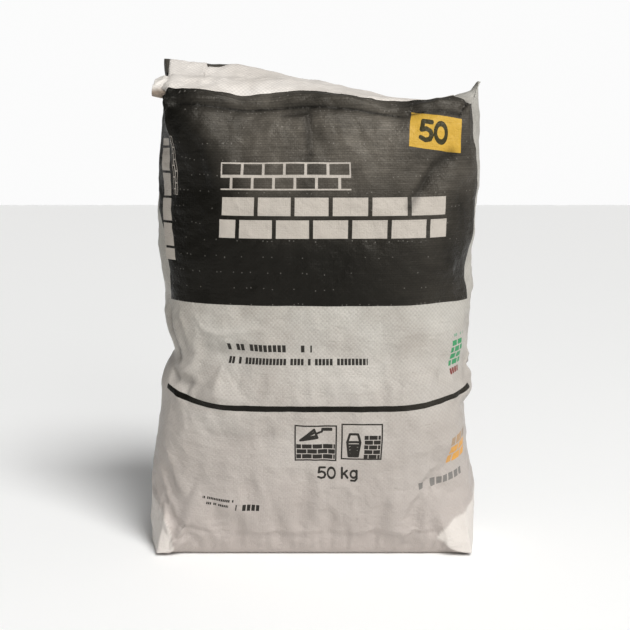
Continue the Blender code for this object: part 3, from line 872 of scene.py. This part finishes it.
def sack_rows():
    """The print, in flexographic ink on the coating, and the wear of the fabric under it, with painted shade
    in its creases and folds, painted highlights on its ridges, and painted sheen and shade on the black.

    A black zone and a stripe run across the panel, block courses stand where words would, and pale
    specks show where the ink missed the tapes.
    """
    badge = ((149.8, 499.8), (32.3, 20.3), 0.14)
    pictures = ("MINIMUM", box((1, 128.5), (25.3, 22)), box((58, 130.5), (24.6, 22)))
    return (
        *FABRIC,
        *WEAVE,
        ("along", "ADD", "u", 0.5 * PANEL),
        ("across", "SUBTRACT", ("FLOORED_MODULO", "along", PANEL), 0.5 * PANEL),
        ("panel", "CombineXYZ", "across", "v", 0.0),
        ("in_front", "LESS_THAN", ("FLOORED_MODULO", "along", TUBE), PANEL),
        ("round_side", "MapRange", "v", 375.0, 450.0, PRINT_HALF, 252.0),
        ("on_end", "MapRange", "v", 545.0, 549.0, PRINT_HALF, 183.0),
        ("left_inside", "GREATER_THAN", ("ADD", "across", ("Mix", "in_front", "on_end", "round_side")), 0.0),
        ("right_inside", "LESS_THAN", "across", ("Mix", "in_front", "round_side", "on_end")),
        ("stripe", "LESS_THAN", ("ABSOLUTE", ("SUBTRACT", "v", STRIPE_AT)), STRIPE_HALF),
        ("zones", "MAXIMUM", ("GREATER_THAN", "v", BLACK_FROM), "stripe"),
        ("black", "MULTIPLY", "zones", ("MULTIPLY", "left_inside", "right_inside")),
        ("cream_ink", *any_of(
            blocks((-120, 375), (46, 26.5), 5.0, (276, 53)),
            block_gaps((-120, 434), (27, 16), 3.4, (162, 32)),
            blocks((-213, 346), (30, 24), 3.0, (23, 145), upright=True),
            block_gaps((-184, 424), (14, 4), 1.3, (8, 70), upright=True))),
        ("dark_ink", *any_of(
            bars((-120, 241), 6.1, 8.5, 116, 3.0),
            bars((-116, 225), 4.6, 8.0, 182, 41.0),
            bars((-143, 50), 2.4, 3.2, 42, 7.0),
            bars((-137, 43), 2.4, 3.2, 30, 17.0),
            bars((-98, 39), 5.6, 8.0, 29, 29.0),
            strokes((4, 83), 14.0, 2.8, FIFTY + KG),
            ("LESS_THAN", ("ABSOLUTE", pictures), 0.9),
            blocks((-23, 108), (13, 6.5), 1.0, (48, 20)),
            blocks((61, 109), (11, 6), 0.9, (20, 30)),
            strokes((-18, 132), 34.0, 2.8, TROWEL),
            strokes((38, 112), 20.0, 3.0, BUCKET))),
        *white_rows("#bdbab2", "#aba69d"),
        # Darker and pinker towards the bottom
        ("dusty", "Mix:RGBA", ("MapRange", "v", 330.0, -30.0, 0.0, 1.0), "white", "#b8aea8"),
        # Lighter on the flat triangles at the foot
        ("cleaned", "Mix:RGBA", ("Attribute.Fac", {"attribute_name": "clean"}), "dusty", "#dcd5ce"),
        ("speck_row", "DIVIDE", ("MULTIPLY_ADD", "patches", 9.0, "v"), SPECK_ROWS),
        ("speck_cell", "DIVIDE", "across", 2.0 * TAPE),
        ("speck_dice", "TexWhiteNoise",
         ("CombineXYZ", ("FLOOR", "speck_cell"), ("FLOOR", "speck_row"), 0.0)),
        ("speck_there", "MULTIPLY", ("LESS_THAN", ("FRACT", "speck_row"), 0.07),
         ("LESS_THAN", ("FRACT", "speck_cell"), 0.24)),
        ("speck", "MULTIPLY", "speck_there", ("GREATER_THAN", "speck_dice", 0.72)),
        *DUST_AND_SHEEN,
        ("ink_tone", "MULTIPLY", ("MapRange", "lines", 0.0, 1.0, 1.04, 0.80),
         ("MapRange", "over", 0.0, 1.0, 0.95, 1.05)),
        # The ink lighter with dust and painted sheen, and darker on the left as painted shade
        ("ink_lined", "VectorMath:SCALE", ("Mix:RGBA", "dust_share", "#0e0d0a", "#a0978a"), "ink_tone"),
        ("ink", "Mix:RGBA", ("MULTIPLY", "speck", 0.16), "ink_lined", "#cfc9c0"),
        ("printed", *layered(
            "cleaned",
            ("black", "ink"),
            ("cream_ink", "#b9b1a7"),
            ("dark_ink", "#1d1b19"),
            (("LESS_THAN", box(*badge), 0.0), "#c8a040"),
            (strokes((131, 489.5), 21.0, 5.4, FIFTY, turned(badge[0], badge[2])), "#37331c"),
            coloured_blocks((174, 84), (16, 12), 2.0, (34, 37), "#e3a23c", "#8b8780"),
            (bars((130, 62), 9.4, 9.0, 72, 5.0), "#7d7a76"),
            coloured_blocks((179, 209), (11, 9), 2.0, (23, 37), "#2f8f5b", "#2f8f5b"),
            (bars((180, 198), 5.0, 8.0, 18, 11.0), "#7a2f2a"),
            (bars((179, 249), 3.1, 4.0, 24, 2.0), "#6f9c82"))),
        # Darker in the creases, partly wear and partly painted shade, and lighter on the ridges as a painted
        # highlight
        ("wear", "MapRange", ("Attribute.Fac", {"attribute_name": "creased"}), -1.0, 1.0, 0.50, 1.30),
        # Painted shadow lines along the sharpest creases
        ("crease_gap", *stroke_gap((0, 0), 1.0, CREASE_SHADOW_LINES)),
        ("crease_tone", "MapRange", ("MULTIPLY_ADD", "patches", 3.4, "crease_gap"), 1.7, 3.6, 0.25, 1.0),
        # Painted shade along soft folds
        ("fold_gap", *stroke_gap((0, 0), 1.0, FOLD_SHADE_LINES)),
        ("fold_tone", "MapRange", ("MULTIPLY_ADD", "patches", 9.0, "fold_gap"), 3.5, 15.0, 0.42, 1.0, SOFT),
        ("wear_both", "MULTIPLY", "wear", ("MULTIPLY", "crease_tone", "fold_tone")),
        ("worn", "VectorMath:SCALE", "printed", "wear_both"),
        ("gloss", "MapRange", "wrinkles", 0.3, 0.7, 0.32, 0.48),
        ("coat", "MapRange", "black", 0.0, 1.0, COAT_SPECULAR, INK_SPECULAR),
        *bump_rows(0.10, 1.3, 1.6),
    )


def sack_material():
    """Woven polypropylene, extruded as tapes, woven and coated: satin, with the weave showing."""
    return new_material("woven_polypropylene_coated_printed", "#c9c3bb", 0.5, sack_rows(),
                        Base_Color="worn", Roughness="gloss", Specular_IOR_Level="coat", Normal="bump")


def patch_material():
    """The same woven polypropylene, unprinted: cleaner and whiter, hot-welded over the block end."""
    rows = (*FABRIC, *WEAVE, *white_rows("#dcd6cf", "#cfc8c0"), *bump_rows(0.10, 1.0, 0.9))
    return new_material("woven_polypropylene_welded", "#dcd6ce", 0.5, rows,
                        Base_Color="white", Normal="bump")


def valve_material():
    """Woven polypropylene, brownish grey on its lower front side: cement dust from the mouth, and painted
    shade on the underside.
    """
    rows = (
        *FABRIC, *WEAVE, *white_rows("#e2ddd6", "#d6d0c8"), *bump_rows(0.10, 1.2, 0.8),
        # Brownish grey: cement dust, and painted shade on the underside
        ("dusted", "Mix:RGBA", ("Attribute.Fac", {"attribute_name": "dust"}), "white", "#97887a"),
    )
    return new_material("woven_polypropylene_dusty", "#dcd6ce", 0.6, rows,
                        Base_Color="dusted", Normal="bump")


def simulate_fabric(points, faces, held):
    """Let the fabric find its folds: Blender's cloth, a little longer than its form, held softly.

    The filling is a pressure from inside and a weak pull of each point to its place on the form,
    which the weights in held give, 1 where the fabric can't move.
    """
    mesh = make_mesh("cloth_form", points, faces)
    cloth_object = bpy.data.objects.new("cloth_form", mesh)
    bpy.context.scene.collection.objects.link(cloth_object)
    group = cloth_object.vertex_groups.new(name="held")
    for weight in np.unique(held):
        group.add(np.flatnonzero(held == weight).tolist(), float(weight), "REPLACE")
    modifier = cloth_object.modifiers.new("cloth", "CLOTH")
    cloth = modifier.settings
    for key, value in CLOTH_SETTINGS.items():
        setattr(cloth, key, value)
    cloth.vertex_group_mass = "held"
    cloth.effector_weights.gravity = 0.0
    modifier.collision_settings.use_collision = False
    modifier.collision_settings.use_self_collision = False
    modifier.point_cache.frame_start = 1
    modifier.point_cache.frame_end = CLOTH_FRAMES
    for number in range(1, CLOTH_FRAMES + 1):
        bpy.context.scene.frame_set(number)
    settled = cloth_object.evaluated_get(bpy.context.evaluated_depsgraph_get()).to_mesh()
    moved = np.empty(len(points) * 3, np.float32)
    settled.vertices.foreach_get("co", moved)
    bpy.context.scene.frame_set(1)
    bpy.data.objects.remove(cloth_object)
    move = moved.reshape(-1, 3).astype(float) * 1000.0 - points
    size = np.linalg.norm(move, axis=1, keepdims=True)
    limited = CLOTH_CAP * np.tanh(size / CLOTH_CAP)
    return points + move * (limited / np.maximum(size, 1e-9))


def vertex_normals(points, faces):
    """Outward normals of the points: the sum of the faces' normals around each, made unit length."""
    across = points[faces[:, 2]] - points[faces[:, 0]]
    upwards = points[faces[:, 3]] - points[faces[:, 1]]
    of_faces = np.cross(across, upwards)
    normals = np.zeros_like(points)
    for corner in range(4):
        np.add.at(normals, faces[:, corner], of_faces)
    return normals / np.maximum(np.linalg.norm(normals, axis=1, keepdims=True), 1e-9)


def all_faces(grids):
    """The faces of the walls, the top and the foot, pointing outwards."""
    return np.concatenate((quads(grids[0]), quads(grids[1]), quads(grids[2])[:, ::-1]))


def build_form():
    """The filled form on the lattice, then its fabric settled and the cells doubled.

    Returns the fine points, the index grids of walls, top and foot, u and v on each grid, and 1
    for the points of the flat triangles at the foot.
    """
    walls, wall_u, wall_v = wall_grid()
    points, grids = weld_lattice(walls, top_grid(walls[-1]), foot_grid(walls[0]))
    held = np.where(points[:, 2] < 0.5 * BOTTOM_FOLD, 1.0, SOFT_HOLD)
    points = simulate_fabric(points, all_faces(grids), held)
    fine_u = double_grid(wall_u[..., None])[..., 0]
    fine_walls, triangles = flatten_foot(double_grid(points[grids[0]], closed=True), fine_u)
    fine_top = double_grid(points[grids[1]])
    fine_foot = double_grid(points[grids[2]])
    points, grids = weld_lattice(fine_walls, fine_top, fine_foot)
    clean = np.zeros(len(points))
    clean[grids[0]] = triangles
    fabric = (
        (fine_u, double_grid(wall_v[..., None])[..., 0]),
        end_fabric(True, 2 * CELLS_ACROSS, 2 * CELLS_SIDE),
        end_fabric(False, 2 * CELLS_ACROSS, 2 * CELLS_SIDE),
    )
    return points, grids, fabric, clean


def fabric_places(grids, fabric, count):
    """u and v of every point. u runs from -300, left of the front panel, round to 700."""
    u = np.empty(count)
    v = np.empty(count)
    for index, (u_grid, v_grid) in zip(grids[::-1], fabric[::-1]):
        u[index] = u_grid
        v[index] = v_grid
    return np.where(u > TUBE - 300.0, u - TUBE, u), v


def waves(points, length, seed, count=16):
    """A smooth random field about -1 to 1: plane waves in random directions, added up."""
    random = np.random.RandomState(seed)
    directions = random.normal(size=(count, 3))
    directions /= np.linalg.norm(directions, axis=1, keepdims=True)
    lengths = length * random.uniform(0.7, 1.4, count)
    phases = random.uniform(0.0, 2.0 * math.pi, count)
    angles = points @ (directions * (2.0 * math.pi / lengths[:, None])).T + phases
    return np.sin(angles).sum(axis=1) / math.sqrt(count)


def crumple(points, length, seed):
    """Flat facets between sharp ridges: one less the size of a random field, twice over."""
    first = 1.0 - np.abs(waves(points, length, seed))
    second = 1.0 - np.abs(waves(points, 0.6 * length, seed + 50))
    return np.clip(first, -1.0, 1.0) + 0.5 * np.clip(second, -1.0, 1.0)


def fold_height(u, v, left, right, sharpness, path):
    """One fold: its height at the nearest point of the path, less with the distance from it.

    The share left at a distance is (1 - distance / width) ** sharpness, with a width for each side.
    """
    nearest = np.full(u.shape, np.inf)
    height = np.zeros(u.shape)
    side = np.zeros(u.shape)
    for (u0, v0, h0), (u1, v1, h1) in zip(path, path[1:]):
        du = u1 - u0
        dv = v1 - v0
        along = np.clip(((u - u0) * du + (v - v0) * dv) / (du * du + dv * dv), 0.0, 1.0)
        off_u = u - u0 - along * du
        off_v = v - v0 - along * dv
        distance = np.hypot(off_u, off_v)
        nearer = distance < nearest
        nearest = np.where(nearer, distance, nearest)
        height = np.where(nearer, h0 + along * (h1 - h0), height)
        side = np.where(nearer, du * off_v - dv * off_u, side)
    width = np.where(side > 0.0, left, right)
    return height * np.clip(1.0 - nearest / width, 0.0, 1.0) ** sharpness


def facet_height(u, v, *corners):
    """Height of a flat triangle over the places inside it, and 0 outside."""
    (u0, v0, h0), (u1, v1, h1), (u2, v2, h2) = corners
    area = (u1 - u0) * (v2 - v0) - (u2 - u0) * (v1 - v0)
    share_1 = ((u - u0) * (v2 - v0) - (u2 - u0) * (v - v0)) / area
    share_2 = ((u1 - u0) * (v - v0) - (u - u0) * (v1 - v0)) / area
    share_0 = 1.0 - share_1 - share_2
    inside = (share_0 >= 0.0) & (share_1 >= 0.0) & (share_2 > 0.0)
    return np.where(inside, share_0 * h0 + share_1 * h1 + share_2 * h2, 0.0)


def relief(points, u, v):
    """How far each point stands out of the smooth form, and how much it is creased."""
    off_floor = smooth((points[:, 2] - 14.0) / 26.0)
    height = sum(size * waves(points, length, seed) for length, size, seed in LUMPS) * off_floor
    crushed = np.zeros(len(u))
    for place_u, place_v, reach_u, reach_v, size in CRUMPLES:
        away = np.hypot((u - place_u) / reach_u, (v - place_v) / reach_v)
        crushed += size * smooth(1.2 * (1.0 - away))
    facets = crumple(points, 34.0, 21) + 0.4 * crumple(points, 17.0, 33) - 1.25
    height += crushed * facets * smooth(points[:, 2] / 8.0)
    height += CRUMPLED_EVERYWHERE * (crumple(points, 46.0, 14) - 0.9) * off_floor
    triangles = [(middle, *side) for middle, *rim in FACETS for side in zip(rim, rim[1:])]
    height += sum(facet_height(u, v, *corners) for corners in triangles)
    creased = np.zeros(len(u))
    for left, right, sharpness, path in FOLDS:
        fold = FOLD_STRENGTH * fold_height(u, v, left, right, sharpness, path)
        height += fold
        narrow = min(1.0, 10.0 / max(left, right)) ** 1.3
        creased += np.where(fold < 0.0, -narrow, 0.4 * narrow) * np.clip(np.abs(fold) / 3.4, 0.0, 1.0) ** 2.5
    return height, creased


def corner_uv(values):
    """The UV map at each face's corners, from a grid of values in metres."""
    return values.reshape(-1, 2)[quads(grid_index(values))]


def make_sack():
    """The filled sack itself. Returns the top block's points and normals, for what lies on it."""
    points, grids, fabric, clean = build_form()
    u, v = fabric_places(grids, fabric, len(points))
    faces = all_faces(grids)
    height, creased = relief(points, u, v)
    points = points + vertex_normals(points, faces) * height[:, None]
    points[:, 2] = np.maximum(points[:, 2], FLOOR_GAP)
    walls_uv, top_uv, foot_uv = (corner_uv(fabric_uv(*place)) for place in fabric)
    mesh = make_mesh("woven_sack", points, faces, np.concatenate((walls_uv, top_uv, foot_uv[:, ::-1])))
    add_attribute(mesh, "creased", creased)
    add_attribute(mesh, "clean", clean)
    sack = add_piece("woven_sack", mesh, sack_material())
    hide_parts("sack")
    return points[grids[1]], vertex_normals(points, faces)[grids[1]]


def sample_grid(grid, row, column):
    """Values between a grid's points, at fractional rows and columns."""
    row = np.clip(row, 0.0, grid.shape[0] - 1.001)
    column = np.clip(column, 0.0, grid.shape[1] - 1.001)
    r = row.astype(int)
    c = column.astype(int)
    a = (row - r)[..., None]
    b = (column - c)[..., None]
    lower = grid[r, c] * (1.0 - b) + grid[r, c + 1] * b
    upper = grid[r + 1, c] * (1.0 - b) + grid[r + 1, c + 1] * b
    return lower * (1.0 - a) + upper * a


def add_patch(name, points, fabric, material):
    """A welded patch: a sheet on a grid of points, with its fabric's places in millimetres."""
    mesh = make_mesh(name, points.reshape(-1, 3), quads(grid_index(points)), corner_uv(fabric * MM))
    patch = add_piece(name, mesh, material)
    thicken(patch, PATCH_PLY)
    return patch


def make_top_patch(material, top_points, top_normals):
    """The patch welded over the top block: the top's own surface, lifted, cut to wavy edges."""
    rows, columns = top_points.shape[:2]
    across = np.linspace(0.0, 1.0, PATCH_CELLS[0] + 1)[None, :]
    deep = np.linspace(0.0, 1.0, PATCH_CELLS[1] + 1)[:, None]
    left = np.interp(deep, *zip(*PATCH_LEFT))
    right = np.interp(deep, *zip(*PATCH_RIGHT))
    x = left + across * (right - left)
    front = np.interp(x, *zip(*PATCH_FRONT))
    rear = np.interp(x, *zip(*PATCH_REAR))
    t = front + deep * (rear - front)
    column = (x + CORNER_U) / (2.0 * CORNER_U)
    for _ in range(3):
        found = sample_grid(top_points, t * (rows - 1), column * (columns - 1))[..., 0]
        column = column + (x - found) / (2.0 * CORNER_U)
    place = (t * (rows - 1), column * (columns - 1))
    under = sample_grid(top_points, *place)
    over_valve = valve_top(x, under[..., 1]) + 0.8 - under[..., 2]
    near_valve = smooth((VALVE_ROOT[0] + 17.0 - x) / 12.0)
    lift = PATCH_LIFT + near_valve * np.maximum(over_valve - PATCH_LIFT, 0.0)
    points = under + sample_grid(top_normals, *place) * lift[..., None]
    patch = add_patch("top_cover_patch", points, np.stack((x, t * BLOCK), axis=-1), material)
    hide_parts("top_patch")


def make_foot_patch(material):
    """The patch welded under the foot: a flat sheet on the floor, its edges a little wavy.

    Each edge is the patch's straight edge plus two sines of the place along it.
    """
    across = np.linspace(-1.0, 1.0, FOOT_CELLS[0] + 1)[None, :]
    deep = np.linspace(-1.0, 1.0, FOOT_CELLS[1] + 1)[:, None]
    long_wave = np.sin(9.0 * across) + 0.6 * np.sin(23.0 * across + 1.0)
    short_wave = np.sin(4.0 * deep) + 0.6 * np.sin(11.0 * deep + 2.0)
    x = across * (FOOT_PATCH[0] + 0.5 * short_wave)
    y = deep * (FOOT_PATCH[1] + 0.5 * long_wave)
    points = np.stack((x, y, 0.1 + 0.0 * x), axis=-1)
    patch = add_patch("foot_cover_patch", points, points[..., :2], material)
    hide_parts("bottom_patch")


def thicken(piece, ply, offset=1.0):
    """Give a one-sided sheet its thickness in millimetres, outwards, or inwards with offset -1."""
    solid = piece.modifiers.new("ply", "SOLIDIFY")
    solid.thickness = ply * MM
    solid.offset = offset


def valve_half_height(out):
    """Half of the sleeve's height: flat under the patch, swollen outside it, narrower at the mouth."""
    return VALVE_HALF[1] * np.interp(out, (-VALVE_INSIDE, 0.0, 0.45, 1.0), (0.42, 0.72, 1.0, 0.72))


def valve_top(x, y):
    """Height of the sleeve's upper side at x and y, or a low number beside it."""
    cosine = (y - VALVE_ROOT[1]) / VALVE_HALF[0]
    sine = np.sqrt(np.clip(1.0 - cosine ** 2, 0.0, 1.0))
    out = (VALVE_ROOT[0] - x) / VALVE_LENGTH
    tilt = VALVE_TILT * VALVE_HALF[0] * cosine
    height = VALVE_ROOT[2] + valve_half_height(out) * sine ** VALVE_ROUND + tilt
    return np.where(np.abs(cosine) < 1.0, height, 0.0)


def make_valve():
    """The valve sleeve: a flattened oval carried outwards along -X, drooping, cut off slantwise.

    The oval is y = half * cos, z = half * sin ** 0.8 with the rear side higher. It is flat under the
    patch, swells outside it, and crumples and narrows towards the mouth.
    """
    around = np.linspace(0.0, 2.0 * math.pi, VALVE_CELLS[0] + 1)[None, :]
    out = np.linspace(-VALVE_INSIDE, 1.0, VALVE_CELLS[1] + 1)[:, None]
    sine = np.sin(around)
    cosine = np.cos(around)
    reach = VALVE_LENGTH * (1.0 - 0.06 * sine)
    open_share = smooth((out + VALVE_INSIDE) / 1.1)
    half_width = VALVE_HALF[0] * (1.0 - 0.06 * open_share)
    half_height = valve_half_height(out)
    x = VALVE_ROOT[0] - out * reach
    y = VALVE_ROOT[1] + half_width * cosine
    bulge = np.sign(sine) * np.abs(sine) ** VALVE_ROUND
    z = VALVE_ROOT[2] + half_height * bulge + VALVE_TILT * half_width * cosine
    z = z - VALVE_DROOP * np.clip(out, 0.0, 1.0) ** 2
    points = np.stack(np.broadcast_arrays(x, y, z), axis=-1)
    flat = points.reshape(-1, 3)
    rumple = (crumple(flat, 21.0, 61) - 0.9) * 1.5
    outwards = np.stack(np.broadcast_arrays(0.0 * x, cosine + 0.0 * x, bulge + 0.0 * x), axis=-1)
    rumple = rumple.reshape(x.shape) * smooth(open_share)
    rumple[:, -1] = rumple[:, 0]
    points = points + outwards * rumple[..., None]
    index = ring_index(len(x), VALVE_CELLS[0])
    # Brownish grey on the lower front side: cement dust from the mouth, and painted shade on the underside
    dust = np.clip(0.55 - 1.6 * bulge - 0.25 * cosine, 0.0, 1.0) * np.ones_like(x)
    size = np.stack((VALVE_HALF[0] * 2.0 * around / math.pi + 0.0 * x, out * reach), axis=-1) * MM
    uv = corner_uv(size)[:, ::-1]
    mesh = make_mesh("valve_sleeve_fabric", points[:, :-1].reshape(-1, 3), quads(index)[:, ::-1], uv)
    add_attribute(mesh, "dust", dust[:, :-1].ravel())
    valve = add_piece("valve_sleeve_fabric", mesh, valve_material())
    thicken(valve, VALVE_PLY, offset=-1.0)
    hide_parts("valve_sleeve")


def add_attribute(mesh, name, values):
    """A number for each point of a mesh, for its material."""
    attribute = mesh.attributes.new(name, "FLOAT", "POINT")
    attribute.data.foreach_set("value", np.asarray(values, np.float32).ravel())


def make_stage():
    """A plain pale floor."""
    bpy.ops.mesh.primitive_plane_add(size=12.0, location=(0.0, 0.0, 0.0))
    floor = bpy.context.object
    floor.name = "floor"
    floor.data.materials.append(new_material("pale_floor", "#fbfbfa", 0.9))


def make_light():
    """Soft studio light: a wide sun above in front, a panel lower down, and a pale surround."""
    world = bpy.data.worlds.new("studio")
    world.use_nodes = True
    made = add_nodes(world.node_tree, (
        ("across", "SeparateXYZ.X", ("TexCoord.Generated",)),
        ("from_left", "MapRange", "across", -0.9, 0.7, WORLD_DARK_SIDE, WORLD_LIGHT),
        ("strength", "Mix", ("LightPath.Is Camera Ray",), "from_left", WORLD_SEEN),
    ))
    world.node_tree.links.new(made["strength"], world.node_tree.nodes["Background"].inputs["Strength"])
    world.node_tree.nodes["Background"].inputs["Color"].default_value = (1.0, 1.0, 1.0, 1.0)
    bpy.context.scene.world = world
    key = bpy.data.lights.new("key_sun", "SUN")
    key.energy = KEY_STRENGTH
    key.angle = KEY_DISC
    panel = bpy.data.lights.new("satin_panel", "AREA")
    panel.shape = "SQUARE"
    panel.size = PANEL_SIZE
    panel.energy = PANEL_POWER
    for data, place in ((key, KEY_PLACE), (panel, PANEL_PLACE)):
        lamp = bpy.data.objects.new(data.name, data)
        lamp.location = place
        lamp.rotation_euler = (Vector((0, 0, 0.3)) - Vector(place)).to_track_quat("-Z", "Y").to_euler()
        bpy.context.scene.collection.objects.link(lamp)


def make_camera():
    """The photograph's view: nearly level, a little above the bag's middle."""
    data = bpy.data.cameras.new("camera")
    data.sensor_width = 36.0
    data.lens = data.sensor_width * CAMERA_PX / FRAME_PX
    camera = bpy.data.objects.new("camera", data)
    camera.location = CAMERA_PLACE
    camera.rotation_euler = (CAMERA_AIM - CAMERA_PLACE).to_track_quat("-Z", "Y").to_euler()
    bpy.context.scene.collection.objects.link(camera)
    bpy.context.scene.camera = camera
    bpy.context.scene.view_settings.view_transform = "Standard"


make_stage()
make_light()
make_camera()
cover = patch_material()
make_top_patch(cover, *make_sack())
make_foot_patch(cover)
make_valve()
